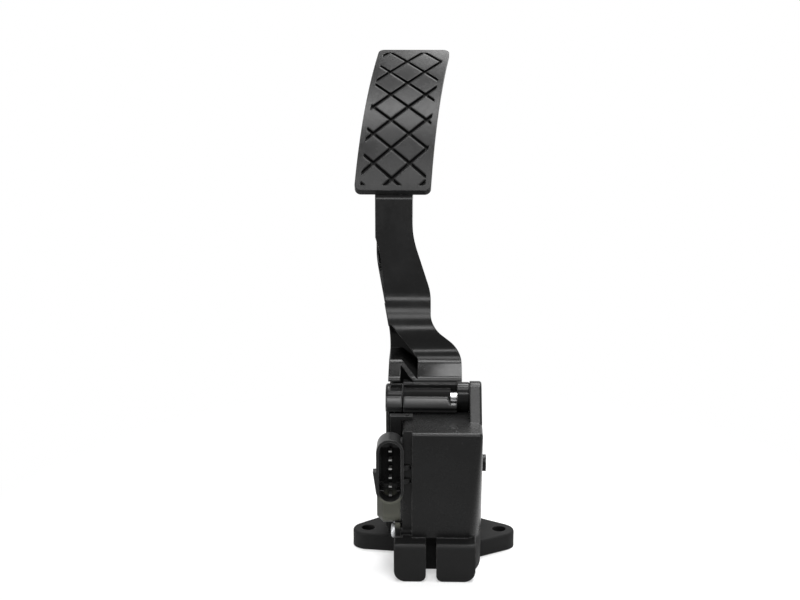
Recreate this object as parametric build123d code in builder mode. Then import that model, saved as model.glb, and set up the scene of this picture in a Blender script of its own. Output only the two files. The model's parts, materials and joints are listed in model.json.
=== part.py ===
from build123d import *
import os
from math import atan2, cos, degrees, pi, radians, sin, sqrt

# Electronic accelerator pedal module, standing on its mounting face.
# Millimetres. X runs along the pivot, Y away from the fork foot, Z up from the mounting face.
# The origin is the middle of the two bolt holes, on the mounting face.

os.makedirs("parts", exist_ok=True)

# Bolt ears and base flange
hole_spacing = 66.0
hole_radius = 3.4
ear_radius = 7.6
base_thickness = 8.5
root_left = -27.0
root_right = 23.0
root_front_left = -8.0
root_front_right = -15.0
root_rear = 15.0

# Housing block
body_left = -15.0
body_right = 23.2
body_front = -35.5
body_rear = 31.5
shelf_height = 72.0
rear_height = 59.5
panel_left = -10.4
strip_setback = 3.5
corner_top_radius = 1.5
corner_width = 10.0
corner_depth = 20.0
shelf_edge_radius = 1.8
rear_corner_radius = 2.5
edge_radius = 1.2
rear_rib_count = 3
rear_rib_depth = 1.4
core_depth = 10.0
core_wall = 2.4
core_columns = 2
core_rows = 3
side_boss_radius = 4.2
side_boss_reach = 2.6
side_boss_y = -2.5
side_boss_z = 45.0

# Well for the springs and the lever tail
well_left = -9.5
well_right = 17.0
well_front = -12.5
well_rear = 28.5
well_floor = 14.0
roof_thickness = 3.0
bridge_front = 7.5
bridge_thickness = 2.4
bridge_rise = 2.5

# Fork foot
foot_left = -18.8
foot_right = 20.2
foot_reach = 8.0
foot_height = 19.0
foot_top_radius = 2.6
foot_corner_radius = 5.5
slot_x = -1.0
slot_width = 5.0
slot_depth = 14.0
slot_lip_radius = 3.2

# Pivot
pivot_y = 1.5
pivot_z = 78.0
shaft_radius = 2.6
bush_thickness = 1.4
hub_radius = 6.5
knuckle_radius = 7.5
cheek_radius = 8.0
cheek_thickness = 5.8
cheek_toe = 21.0
cheek_lean = 30.0
bearing_left = -24.0
bearing_width = 8.2
pillar_toe = 1.0
knuckle_left = 11.2
shaft_fit = 0.04
seat_fit = 0.02
running_gap = 0.5
travel = 16.0

# Pedal arm
flange_thickness = 2.6
web_thickness = 3.0
rib_thickness = 1.6
rib_setback = 0.6
opening_depth = 7.0
rib_count = 6
arm_depth = 18.0
arm_drop = 7.0
arm_bend_radius = 6.0
step_radius = 2 * arm_bend_radius
crest_radius = 20.0
arm_left = -23.0
arm_right = 13.6
neck_left = -31.4
neck_right = -12.0
waist_right = -2.2
plate_left = -8.4
plate_run = 22.0
plate_rise = 14.4
step_run = 3.0
step_rise = 14.6
crest_run = 11.0
crest_rise = 9.0
neck_run = 20.0
neck_rise = 53.3
neck_bow = 0.5
neck_taper = 5.5
bow_share = 0.45
bend_share = 0.62
waist_share = 0.1
flange_setback = 2.4
lug_width = 6.0
lug_height = 7.0
lever_drop = 8.5
lever_reach = 30.0
wedge_run = 60.0
wedge_tip_radius = 1.0
waist_radius = 16.0
neck_radius = 60.0
tail_left = -4.0
tail_width = 12.0
tail_thickness = 6.0
tail_length = 24.0
trough_depth = 2.2
window_width = 3.2

# Tread
pad_overhang = 1.5
pad_lift = 1.9
pad_length = 108.0
pad_width = 39.6
pad_skew = 10.0
pad_bow = 1.2
pad_bottom_left = -42.2
pad_lean_bottom = 42.0
pad_lean_top = 65.0
pad_thickness = 4.0
pad_corner_radius = 3.4
pad_edge_radius = 1.0
groove_width = 1.6
groove_depth = 1.3
groove_border = 3.0
diamond_width = 18.9
diamond_height = 19.6
diamond_x = -22.9
diamond_start = 7.0
diamond_turn = 1.0
carrier_thickness = 4.0
carrier_inset = 4.5
peg_radius = 2.4

# Sensor cover and connector
cover_left = -27.4
cover_front = -30.5
cover_rear = -7.0
cover_bottom = 23.5
cover_top = 67.5
cover_slope = 7.0
cover_wall = 2.0
cover_corner_radius = 4.5
cover_chamfer = 3.0
seal_thickness = 1.0
shroud_front = -36.5
shroud_width = 13.2
shroud_height = 32.6
shroud_z = 52.9
shroud_wall = 1.3
shroud_depth = 9.0
terminal_count = 6
terminal_pitch = 4.5
terminal_z = 50.5
terminal_width = 1.5
terminal_thickness = 0.8
terminal_recess = 4.6
key_reach = 3.6
key_thickness = 0.8
board_thickness = 1.6
board_margin = 0.6
chamber_depth = 3.6
chip_height = 1.0
screw_y = -29.0
screw_z = 20.0
screw_spacing = 17.0
screw_radius = 1.5
screw_head_radius = 3.4
screw_head_height = 2.0
screw_length = 9.0
lug_thickness = 2.5
clip_y = -16.5
clip_width = 4.0
clip_reach = 5.6
clip_base = 5.4
clip_window = 1.8
ramp_height = 11.0
ramp_reach = 1.6
ramp_length = 5.0
boss_radius = 3.4

# Springs and friction
spring_x = 2.0
spring_y = 19.5
outer_coil_radius = 7.4
outer_wire = 1.1
outer_turns = 6
inner_coil_radius = 4.6
inner_wire = 0.8
inner_turns = 7
coil_steps = 12
wire_sides = 6
seat_thickness = 3.0
seat_radius = 8.9
spigot_length = 6.0
shoe_thickness = 3.0
shoe_width = 9.0
track_gap = 0.3
stop_height = 5.0
stop_gap = 0.3
stop_width = 9.0
magnet_radius = 2.4
magnet_length = 2.4
carrier_reach = 4.2

# Places worked out from the sizes above
lever_bottom = pivot_z - lever_drop
lever_rear = pivot_y + lever_reach
plate_end = (pivot_y + plate_run, pivot_z + plate_rise)
step_top = (plate_end[0] + step_run, plate_end[1] + step_rise)
crest = (step_top[0] + crest_run, step_top[1] + crest_rise)
neck_front = (crest[0] + neck_run, crest[1] + neck_rise)
pad_y = neck_front[0] - pad_overhang
pad_z = neck_front[1] + pad_lift
body_width = body_right - body_left
body_mid_x = (body_left + body_right) / 2
foot_front = body_front - foot_reach
well_roof = shelf_height - roof_thickness
bridge_height = rear_height + bridge_rise
shelf_rear = pivot_y + hub_radius / 2 - running_gap
barrel_bottom = pivot_z - hub_radius - running_gap
turn = radians(travel)
tail_right = tail_left + tail_width
tail_swing = (tail_thickness / 2 + (pivot_z - well_roof) * sin(turn)) / cos(turn)
carrier_width = 2 * (tail_thickness - running_gap)
carrier_height = 4 * magnet_radius
magnet_z = pivot_z - tail_length + carrier_height / 2 + stop_gap
carrier_swing = (carrier_width / 2 + (pivot_z - magnet_z) * sin(turn)) / cos(turn)
pivot_line = Plane(origin=(0, pivot_y, pivot_z), x_dir=(0, 1, 0), z_dir=(1, 0, 0))
bearing_right = bearing_left + bearing_width
hub_left = bearing_right + running_gap
cheek_left = body_right - cheek_thickness
cheek_slope = radians(cheek_lean)
knuckle_right = cheek_left - running_gap
bush_radius = shaft_radius + bush_thickness
lean_span = pad_lean_top - pad_lean_bottom
lean_mid = (pad_lean_top + pad_lean_bottom) / 2
pad_radius = pad_length / radians(lean_span)
pad_centre_y = pad_y + pad_radius * cos(radians(pad_lean_bottom))
pad_centre_z = pad_z - pad_radius * sin(radians(pad_lean_bottom))
cover_right = body_left - seal_thickness
shroud_x = cover_left + shroud_width / 2
strip_front = body_front + strip_setback
shroud_floor = shroud_front + shroud_depth
board_right = body_left + board_thickness
shoe_radius = tail_length + shoe_thickness
track_radius = shoe_radius + track_gap


def screw_plane(x, index):
    """Plane across one of the cover screws at a given X, facing the housing."""
    return Plane(origin=(x, screw_y + index * screw_spacing, screw_z), x_dir=(0, 1, 0), z_dir=(1, 0, 0))


def pad_point(depth, run):
    """Y and Z of a point a given depth under the tread's front and a given run up from its lower edge."""
    lean = radians(pad_lean_bottom) + run / pad_radius
    reach = pad_radius - depth
    return (pad_centre_y - reach * cos(lean), pad_centre_z + reach * sin(lean))


def cut_block(x_range, y_range, z_range):
    """Cut a rectangular block between two values along each axis."""
    sizes = [high - low for low, high in (x_range, y_range, z_range)]
    middles = [(high + low) / 2 for low, high in (x_range, y_range, z_range)]
    with Locations(tuple(middles)):
        Box(*sizes, mode=Mode.SUBTRACT)


# Outline of the sensor cover, with a top that falls away behind the connector
with BuildSketch(Plane.YZ) as cover_outline:
    with BuildLine():
        FilletPolyline(
            (cover_front, cover_bottom),
            (cover_rear, cover_bottom),
            (cover_rear, cover_top - cover_slope),
            (cover_front, cover_top),
            radius=cover_corner_radius,
            close=True,
        )
    make_face()
board_inset = cover_wall + board_margin

# Left bearing pillar with its rounded outer end
with BuildPart() as pillar:
    with BuildSketch(Plane.YZ.offset(bearing_left)):
        with Locations((pivot_y, pivot_z)):
            Circle(hub_radius)
        with Locations((pivot_y + (hub_radius - pillar_toe) / 2, pivot_z / 2)):
            Rectangle(hub_radius + pillar_toe, pivot_z)
    extrude(amount=bearing_width)
    outer_end = pillar.faces().sort_by(Axis.X)[0].edges()
    fillet(outer_end.filter_by_position(Axis.Z, base_thickness, pivot_z + 2 * hub_radius), edge_radius)
    cut_block(
        (bearing_left + 2 * edge_radius, bearing_right + 1),
        (pivot_y - knuckle_radius, pivot_y),
        (pivot_z + hub_radius - trough_depth, pivot_z + hub_radius + 1),
    )

# Right bearing cheek with its sloping front
with BuildPart() as cheek:
    with BuildSketch(Plane.YZ.offset(cheek_left)):
        with Locations((pivot_y, pivot_z)):
            Circle(cheek_radius)
        with BuildLine():
            Polyline(
                (pivot_y - cheek_toe, shelf_height),
                (pivot_y - cheek_radius * sin(cheek_slope), pivot_z + cheek_radius * cos(cheek_slope)),
                (pivot_y + cheek_radius, pivot_z),
                (pivot_y + cheek_radius, rear_height),
                (shelf_rear - 1, rear_height),
                (pivot_y - cheek_toe, shelf_height - 1),
                close=True,
            )
        make_face()
    extrude(amount=cheek_thickness)
    outer_side = cheek.faces().sort_by(Axis.X)[-1].edges()
    fillet(outer_side.filter_by_position(Axis.Z, shelf_height, pivot_z + 2 * cheek_radius), edge_radius)

# Housing
with BuildPart() as housing:
    with BuildSketch():
        with Locations((-hole_spacing / 2, 0), (hole_spacing / 2, 0)):
            Circle(ear_radius)
        with BuildLine():
            Polyline(
                (root_left, root_front_left),
                (root_right, root_front_right),
                (root_right, root_rear),
                (root_left, root_rear),
                close=True,
            )
        make_face()
        make_hull()
    extrude(amount=base_thickness)
    fillet(housing.edges().group_by(Axis.Z)[-1], edge_radius)
    # Block whose right front corner opens out towards the base
    corners = ((0, corner_width, corner_depth), (shelf_height, corner_top_radius, corner_top_radius))
    for height, across, back in corners:
        with BuildSketch(Plane.XY.offset(height)) as plan:
            with BuildLine():
                rounding = EllipticalCenterArc(
                    (body_right - across, body_front + back), across, back, start_angle=270, arc_size=90
                )
                Polyline(
                    rounding @ 1,
                    (body_right, body_rear),
                    (body_left, body_rear),
                    (body_left, body_front),
                    rounding @ 0,
                )
            make_face()
            fillet(plan.vertices().group_by(Axis.Y)[-1], rear_corner_radius)
    loft(ruled=True)
    shelf_edge = housing.edges().filter_by(Axis.X).group_by(Axis.Z)[-1].sort_by(Axis.Y)[0]
    fillet(shelf_edge, shelf_edge_radius)
    cut_block(
        (body_left - 1, body_right + 1),
        (shelf_rear, body_rear + 1),
        (rear_height, shelf_height + 1),
    )
    cut_block(
        (body_left - 1, panel_left),
        (body_front - 1, body_front + strip_setback),
        (foot_height, shelf_height + 1),
    )
    # Room for the hub barrel and its knuckle
    with Locations(pivot_line.offset(body_left)):
        Cylinder(hub_radius + running_gap, knuckle_left - running_gap - body_left,
                 align=(Align.CENTER, Align.CENTER, Align.MIN), mode=Mode.SUBTRACT)
    with Locations(pivot_line.offset(knuckle_left - running_gap)):
        Cylinder(knuckle_radius + running_gap, cheek_left - knuckle_left + running_gap,
                 align=(Align.CENTER, Align.CENTER, Align.MIN), mode=Mode.SUBTRACT)
    # Fork foot
    for left_side, reach in ((foot_left, foot_reach), (slot_x, foot_reach + corner_depth - core_wall)):
        with BuildSketch(Plane.XZ.offset(-foot_front)) as foot_outline:
            with Locations(((left_side + foot_right) / 2, foot_height / 2)):
                Rectangle(foot_right - left_side, foot_height)
            fillet(foot_outline.vertices().group_by(Axis.Y)[0], foot_corner_radius)
        extrude(amount=-reach)
    foot_top = housing.edges().filter_by(Axis.X).group_by(Axis.Y)[0].sort_by(Axis.Z)[-1]
    fillet(foot_top, foot_top_radius)
    cut_block(
        (slot_x - slot_width / 2, slot_x + slot_width / 2),
        (foot_front - 1, foot_front + slot_depth),
        (-1, foot_height),
    )
    slot_lips = housing.edges().filter_by(Axis.Y).filter_by_position(
        Axis.X, slot_x - slot_width, slot_x + slot_width
    ).group_by(Axis.Z)[0]
    fillet(slot_lips, slot_lip_radius)
    # Left bearing pillar
    add(pillar.part)
    with BuildSketch(Plane.YZ.offset(bearing_left + edge_radius)):
        with Locations((pivot_y, rear_height / 2)):
            Rectangle(2 * hub_radius, rear_height)
        with Locations(((pivot_y - hub_radius + shelf_rear) / 2, barrel_bottom / 2)):
            Rectangle(shelf_rear - pivot_y + hub_radius, barrel_bottom)
    extrude(amount=body_left + seal_thickness - bearing_left - edge_radius)
    # Right bearing cheek
    add(cheek.part)
    # Well for the tail, its round floor the track of the friction shoe, and well for the springs
    with BuildSketch(Plane.YZ.offset(well_left)):
        with Locations((pivot_y, pivot_z)):
            Circle(track_radius)
        with Locations(((well_front + bridge_front) / 2, well_roof - track_radius)):
            Rectangle(bridge_front - well_front, 2 * track_radius, mode=Mode.INTERSECT)
    extrude(amount=well_right - well_left, mode=Mode.SUBTRACT)
    cut_block(
        (well_left, well_right),
        (bridge_front + bridge_thickness, well_rear),
        (well_floor, shelf_height),
    )
    with Locations(((well_left + well_right) / 2, bridge_front + bridge_thickness / 2, rear_height)):
        Box(
            well_right - well_left, bridge_thickness, bridge_height - rear_height,
            align=(Align.CENTER, Align.CENTER, Align.MIN),
        )
    cut_block((well_left, well_right), (shelf_rear, bridge_front), (well_roof - 1, shelf_height + 1))
    cut_block(
        (tail_left - 2 * running_gap, tail_right + 2 * running_gap),
        (pivot_y - tail_swing - running_gap, shelf_rear + 1),
        (well_roof - 1, shelf_height + 1),
    )
    # Room above the magnet carrier, over its whole travel
    cut_block(
        (tail_left - carrier_reach - running_gap, tail_left),
        (pivot_y - carrier_swing - running_gap, shelf_rear),
        (magnet_z, magnet_z + carrier_height / 2 + running_gap),
    )
    # Chamber of the circuit board, bosses of the cover screws and round boss on the right side
    with BuildSketch(Plane.YZ.offset(body_left)):
        add(cover_outline.sketch_local)
        offset(amount=running_gap / 2 - board_inset)
    extrude(amount=chamber_depth, mode=Mode.SUBTRACT)
    with Locations(*[screw_plane(cover_right, index) for index in range(2)]):
        Cylinder(boss_radius, panel_left - cover_right, align=(Align.CENTER, Align.CENTER, Align.MIN))
        Cylinder(screw_radius + seat_fit, screw_length, align=(Align.CENTER, Align.CENTER, Align.MIN),
                 mode=Mode.SUBTRACT)
    with Locations(Plane(origin=(body_right, side_boss_y, side_boss_z), z_dir=(1, 0, 0))):
        Cylinder(side_boss_radius, side_boss_reach, align=(Align.CENTER, Align.CENTER, Align.MIN))
    # Shaft seats
    with Locations(pivot_line.offset(bearing_left + 1)):
        Cylinder(bush_radius + seat_fit, bearing_width, align=(Align.CENTER, Align.CENTER, Align.MIN),
                 mode=Mode.SUBTRACT)
    with Locations(pivot_line.offset(cheek_left - 1)):
        Cylinder(bush_radius + seat_fit, cheek_thickness, align=(Align.CENTER, Align.CENTER, Align.MIN),
                 mode=Mode.SUBTRACT)
    # Ribs down the rear wall
    with Locations((body_mid_x, body_rear, 0)):
        with GridLocations(body_width / (rear_rib_count + 1), 1, rear_rib_count, 1):
            Box(rib_thickness, 2 * rear_rib_depth, rear_height - edge_radius,
                align=(Align.CENTER, Align.CENTER, Align.MIN))
    # Cored underside behind the fork slot
    core_front = body_front + corner_depth
    core_width = (body_width - core_wall) / core_columns - core_wall
    core_length = (body_rear - core_front) / core_rows - core_wall
    with Locations((body_mid_x, (core_front + body_rear - core_wall) / 2, 0)):
        with GridLocations(core_width + core_wall, core_length + core_wall, core_columns, core_rows):
            Box(core_width, core_length, core_depth, align=(Align.CENTER, Align.CENTER, Align.MIN),
                mode=Mode.SUBTRACT)
    # Bolt holes
    with Locations((-hole_spacing / 2, 0, 0), (hole_spacing / 2, 0, 0)):
        Cylinder(hole_radius, 4 * base_thickness, mode=Mode.SUBTRACT)
housing.part.label = "housing"
export_step(housing.part, "parts/housing.step")


def behind(point):
    """Point of the arm's rear flange that belongs to a point of its front flange."""
    return (point[0] + arm_depth, point[1] - arm_drop)


def face_height(point):
    """Height at Y = 0 of the line that runs from a front point along the arm's depth."""
    return point[1] + point[0] * arm_drop / arm_depth


def along(start, end, share):
    """Point a given share of the way from one point to another."""
    return (start[0] + share * (end[0] - start[0]), start[1] + share * (end[1] - start[1]))


def tread_layer(upper, lower, overrun):
    """Side outline of a layer of the tread between two depths, run past both of its ends."""
    with BuildSketch(Plane.YZ) as layer:
        with BuildLine():
            ends = (-overrun, pad_length / 2, pad_length + overrun)
            outer = ThreePointArc(*[pad_point(upper, run) for run in ends])
            inner = ThreePointArc(*[pad_point(lower, run) for run in ends])
            Line(outer @ 0, inner @ 0)
            Line(outer @ 1, inner @ 1)
        make_face()
    return layer.sketch


# Outlines of the arm, from the side and from the front
wedge_depth = pad_thickness + carrier_thickness / 2
with BuildSketch(Plane.YZ) as arm_side:
    with BuildLine():
        FilletPolyline(
            (pivot_y, pivot_z + hub_radius),
            plate_end,
            step_top,
            crest,
            neck_front,
            pad_point(wedge_depth, arm_bend_radius),
            pad_point(wedge_depth, wedge_run),
            behind(neck_front),
            behind(crest),
            behind(step_top),
            behind(plate_end),
            (lever_rear, lever_bottom),
            (pivot_y + hub_radius, lever_bottom),
            radius=[
                arm_bend_radius, step_radius, crest_radius, crest_radius, arm_bend_radius,
                arm_bend_radius, wedge_tip_radius, arm_bend_radius, step_radius, step_radius,
                arm_bend_radius, arm_bend_radius, arm_bend_radius,
            ],
            close=True,
        )
    make_face()

wedge_top = face_height(pad_point(wedge_depth, wedge_run))
depth_line = (0, arm_depth, -arm_drop)
with BuildSketch(Plane.XZ) as arm_front:
    with BuildLine():
        FilletPolyline(
            (arm_left, face_height(step_top) - step_run),
            (neck_left + neck_bow, face_height(along(crest, neck_front, bow_share))),
            (neck_left, face_height(neck_front)),
            (neck_left + neck_taper, wedge_top + pad_length),
            (neck_right + neck_taper, wedge_top + pad_length),
            (neck_right, face_height(neck_front)),
            (neck_right, face_height(along(crest, neck_front, bend_share))),
            (waist_right, face_height(along(crest, neck_front, waist_share))),
            (waist_right, face_height(step_top)),
            (arm_right, face_height(plate_end) + step_run),
            (arm_right, 0),
            (arm_left, 0),
            radius=[
                neck_radius, neck_radius, waist_radius, wedge_tip_radius,
                wedge_tip_radius, waist_radius, neck_radius, neck_radius / 2,
                waist_radius, waist_radius, wedge_tip_radius, wedge_tip_radius,
            ],
            close=True,
        )
    make_face()

arm_reach = neck_front[0] + 2 * pad_length
with BuildPart() as arm_envelope:
    extrude(arm_side.sketch, amount=hole_spacing, both=True)
    extrude(arm_front.sketch, amount=arm_reach, dir=depth_line, both=True, mode=Mode.INTERSECT)

# Space between the flanges, open on the left
with BuildPart() as arm_pocket:
    with BuildSketch(Plane.YZ):
        add(arm_side.sketch_local)
        offset(amount=-flange_thickness)
        with Locations((pivot_y, pivot_z)):
            Circle(hub_radius + flange_thickness, mode=Mode.SUBTRACT)
    extrude(amount=hole_spacing, both=True)
    with BuildSketch(Plane.XZ):
        with Locations((-web_thickness, 0)):
            add(arm_front.sketch_local)
    extrude(amount=arm_reach, dir=depth_line, both=True, mode=Mode.INTERSECT)

# Strip taken off the front flange's left edge, so that the ribs show past it
with BuildPart() as flange_trim:
    with BuildSketch(Plane.YZ):
        with BuildLine():
            Line(crest, neck_front)
        trace(line_width=2 * flange_thickness)
    extrude(amount=hole_spacing, both=True)
    with BuildSketch(Plane.XZ):
        with BuildLine():
            Polyline(
                (arm_left - hole_spacing, face_height(crest)),
                (arm_left - flange_setback, face_height(crest)),
                (neck_left + neck_bow + flange_setback, face_height(along(crest, neck_front, bow_share))),
                (neck_left, face_height(along(crest, neck_front, bend_share))),
                (neck_left - hole_spacing, face_height(along(crest, neck_front, bend_share))),
                close=True,
            )
        make_face()
    extrude(amount=arm_reach, dir=depth_line, both=True, mode=Mode.INTERSECT)

# Zigzag ribs between the flanges
with BuildPart() as arm_ribs:
    with BuildSketch(Plane.YZ):
        with BuildLine():
            front_ends = [along(crest, neck_front, step / rib_count) for step in range(rib_count + 1)]
            zigzag = [
                behind(point) if index % 2 else point for index, point in enumerate(front_ends)
            ]
            Polyline(behind(plate_end), step_top, behind(step_top), *zigzag)
            Polyline(
                (pivot_y + hub_radius, pivot_z),
                (plate_end[0] + opening_depth, plate_end[1] - opening_depth / 2),
                (step_top[0] + opening_depth, step_top[1]),
            )
        trace(line_width=rib_thickness)
    extrude(amount=hole_spacing, both=True)
    add(arm_pocket.part, mode=Mode.INTERSECT)
    add(Pos(rib_setback, 0, 0) * arm_envelope.part, mode=Mode.INTERSECT)

# Lug beside the plate and the slanted rib that props it
lug_bottom = pivot_z + hub_radius
with BuildPart() as arm_lug:
    with BuildSketch(Plane.XZ):
        with BuildLine():
            Polyline(
                (arm_left + lug_width / 2, lug_bottom + lug_height - rib_thickness / 2),
                (arm_left + lug_width, lug_bottom + lug_height - rib_thickness / 2),
                (plate_left, lug_bottom),
            )
        trace(line_width=rib_thickness)
        with Locations((arm_left + lug_width / 2, lug_bottom + lug_height / 2)):
            Rectangle(lug_width, lug_height)
    extrude(amount=-(step_top[0] + 2 * opening_depth))
    add(arm_envelope.part, mode=Mode.INTERSECT)

# Outline of the tread, on the plane that faces its middle
pad_middle = pad_point(0, pad_length / 2)
pad_half = pad_radius * sin(radians(lean_span) / 2)
pad_plane = Plane(
    origin=(0, *pad_middle),
    x_dir=(1, 0, 0),
    z_dir=(0, -cos(radians(lean_mid)), sin(radians(lean_mid))),
)
with BuildSketch(pad_plane) as pad_outline:
    with BuildLine():
        left_edge = ThreePointArc(
            (pad_bottom_left, -pad_half),
            (pad_bottom_left + pad_skew / 2 - pad_bow, 0),
            (pad_bottom_left + pad_skew, pad_half),
        )
        right_edge = ThreePointArc(
            (pad_bottom_left + pad_width, -pad_half),
            (pad_bottom_left + pad_width + pad_skew / 2 - pad_bow, 0),
            (pad_bottom_left + pad_width + pad_skew, pad_half),
        )
        Line(left_edge @ 0, right_edge @ 0)
        Line(left_edge @ 1, right_edge @ 1)
    make_face()
    fillet(pad_outline.vertices(), pad_corner_radius)


def peg_plane(depth, run):
    """Plane under the tread's middle line, facing away from the foot."""
    lean = radians(pad_lean_bottom) + run / pad_radius
    middle = pad_bottom_left + (pad_width + pad_skew * 2 * run / pad_length) / 2
    return Plane(
        origin=(middle, *pad_point(depth, run)), x_dir=(1, 0, 0), z_dir=(0, cos(lean), -sin(lean))
    )


peg_runs = (wedge_run + 4 * peg_radius, pad_length - 5 * peg_radius)
clip_thickness = peg_radius / 2
clip_relief = 3 * peg_radius**2 / pad_radius
peg_length = carrier_thickness + 2 * clip_thickness

# Tread before its grooves are cut
with BuildPart() as tread_blank:
    extrude(tread_layer(0, pad_thickness, pad_thickness), amount=hole_spacing, both=True)
    extrude(pad_outline.sketch, amount=pad_length, both=True, mode=Mode.INTERSECT)

# Pedal arm
with BuildPart() as pedal_arm:
    add(arm_envelope.part)
    add(arm_pocket.part, mode=Mode.SUBTRACT)
    add(flange_trim.part, mode=Mode.SUBTRACT)
    add(tread_blank.part, mode=Mode.SUBTRACT)
    # Opening in the front flange beside the plate
    with BuildSketch(Plane.XZ):
        with BuildLine():
            Polyline(
                (arm_left - flange_thickness, step_top[1] + 1),
                (arm_left + 1, step_top[1]),
                (plate_left, plate_end[1] - 1),
                (plate_left, pivot_z + hub_radius),
                (arm_left + lug_width, pivot_z + hub_radius),
                (arm_left + lug_width, pivot_z + hub_radius + lug_height),
                (arm_left - flange_thickness, pivot_z + hub_radius + lug_height),
                close=True,
            )
        make_face()
    extrude(amount=-(step_top[0] + 1.5 * flange_thickness), mode=Mode.SUBTRACT)
    add(arm_ribs.part)
    add(arm_lug.part)
    # Room round the left bearing
    with Locations(pivot_line.offset(arm_left - 1)):
        Cylinder(hub_radius + 2 * running_gap, hub_left - arm_left + 1,
                 align=(Align.CENTER, Align.CENTER, Align.MIN), mode=Mode.SUBTRACT)
    cut_block(
        (arm_left - 1, hub_left),
        (pivot_y - 2 * hub_radius, pivot_y + 2 * hub_radius),
        (0, pivot_z + hub_radius),
    )
    # Hub barrel and knuckle
    with Locations(pivot_line.offset(hub_left)):
        Cylinder(hub_radius, knuckle_left - hub_left, align=(Align.CENTER, Align.CENTER, Align.MIN))
    with Locations(pivot_line.offset(knuckle_left)):
        Cylinder(knuckle_radius, knuckle_right - knuckle_left,
                 align=(Align.CENTER, Align.CENTER, Align.MIN))
    # Tail that carries the magnets and the friction shoe
    with BuildSketch(Plane.YZ.offset(tail_left)):
        with Locations((pivot_y, pivot_z - tail_length / 2)):
            Rectangle(tail_thickness, tail_length)
    extrude(amount=tail_width)
    # Trough along the barrel and window on the shaft
    cut_block(
        (hub_left - 1, knuckle_left - window_width),
        (pivot_y - knuckle_radius, pivot_y),
        (pivot_z + hub_radius - trough_depth, pivot_z + hub_radius + 1),
    )
    cut_block(
        (knuckle_left - window_width, knuckle_left),
        (pivot_y - knuckle_radius, pivot_y),
        (pivot_z, pivot_z + hub_radius + 1),
    )
    # Bore with a pocket for a bush at each end
    with Locations(pivot_line.offset(hub_left)):
        Cylinder(shaft_radius + running_gap / 2, knuckle_right - hub_left,
                 align=(Align.CENTER, Align.CENTER, Align.MIN), mode=Mode.SUBTRACT)
    with Locations(pivot_line.offset(hub_left), pivot_line.offset(knuckle_left)):
        Cylinder(bush_radius + seat_fit, knuckle_right - knuckle_left,
                 align=(Align.CENTER, Align.CENTER, Align.MIN), mode=Mode.SUBTRACT)
    # Carrier of the tread
    with BuildSketch(pad_plane):
        add(pad_outline.sketch_local)
        offset(amount=-carrier_inset)
    carrier_prism = extrude(amount=pad_length, both=True, mode=Mode.PRIVATE)
    carrier_layer = extrude(
        tread_layer(pad_thickness, pad_thickness + carrier_thickness, 0),
        amount=hole_spacing, both=True, mode=Mode.PRIVATE,
    )
    add(carrier_prism & carrier_layer)
    with Locations(*[peg_plane(pad_thickness, run) for run in peg_runs]):
        Cylinder(peg_radius + seat_fit, 3 * carrier_thickness, mode=Mode.SUBTRACT)
pedal_arm.part.label = "pedal_arm"
export_step(pedal_arm.part, "parts/pedal_arm.step")

# Diamond grooves of the tread
with BuildPart() as tread_grooves:
    groove_angle = degrees(atan2(diamond_height, diamond_width))
    groove_count = int(pad_length / diamond_height) + 4
    first_row = -pad_half + diamond_start
    with BuildSketch(pad_plane):
        for step in range(-groove_count, groove_count + 1):
            with Locations((diamond_x + step * diamond_width, first_row)):
                Rectangle(4 * pad_length, groove_width, rotation=groove_angle + diamond_turn)
                Rectangle(4 * pad_length, groove_width, rotation=-groove_angle + diamond_turn)
        with BuildSketch(mode=Mode.INTERSECT):
            add(pad_outline.sketch_local)
            offset(amount=-groove_border)
    extrude(amount=pad_length, both=True)
    extrude(tread_layer(-groove_depth, groove_depth, groove_depth), amount=hole_spacing, both=True,
            mode=Mode.INTERSECT)

# Tread
with BuildPart() as pedal_pad:
    add(tread_blank.part)
    tread_face = pedal_pad.faces().sort_by(SortBy.AREA)[-1]
    fillet(tread_face.edges(), pad_edge_radius)
    add(tread_grooves.part, mode=Mode.SUBTRACT)
    with Locations(*[peg_plane(pad_thickness, run) for run in peg_runs]):
        Cylinder(peg_radius, peg_length, align=(Align.CENTER, Align.CENTER, Align.MIN))
pedal_pad.part.label = "pedal_pad"
export_step(pedal_pad.part, "parts/pedal_pad.step")

# Clips that hold the tread's pegs behind the carrier
with BuildPart() as pad_clips:
    with Locations(*[peg_plane(pad_thickness + carrier_thickness + clip_relief, run) for run in peg_runs]):
        Cylinder(2 * peg_radius, clip_thickness, align=(Align.CENTER, Align.CENTER, Align.MIN))
        Cylinder(peg_radius + seat_fit, clip_thickness, align=(Align.CENTER, Align.CENTER, Align.MIN),
                 mode=Mode.SUBTRACT)
pad_clips.part.label = "pad_clips"
export_step(pad_clips.part, "parts/pad_clips.step")

# Pivot shaft
shaft_left = bearing_left + 2
with BuildPart() as pivot_shaft:
    with Locations(pivot_line.offset(shaft_left)):
        Cylinder(shaft_radius, body_right - 2 - shaft_left, align=(Align.CENTER, Align.CENTER, Align.MIN))
    chamfer(pivot_shaft.edges().filter_by(GeomType.CIRCLE), shaft_radius / 6)
pivot_shaft.part.label = "pivot_shaft"
export_step(pivot_shaft.part, "parts/pivot_shaft.step")

# Bushes of the shaft, two in the housing and two in the hub
bush_length = knuckle_right - knuckle_left
with BuildPart() as bearing_bushes:
    with Locations(pivot_line.offset(bearing_left + 1)):
        Cylinder(bush_radius, bearing_width - 1, align=(Align.CENTER, Align.CENTER, Align.MIN))
    with Locations(pivot_line.offset(cheek_left)):
        Cylinder(bush_radius, cheek_thickness - 1, align=(Align.CENTER, Align.CENTER, Align.MIN))
    with Locations(pivot_line):
        Cylinder(shaft_radius + shaft_fit, 2 * hole_spacing, mode=Mode.SUBTRACT)
bearing_bushes.part.label = "bearing_bushes"
export_step(bearing_bushes.part, "parts/bearing_bushes.step")

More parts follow.
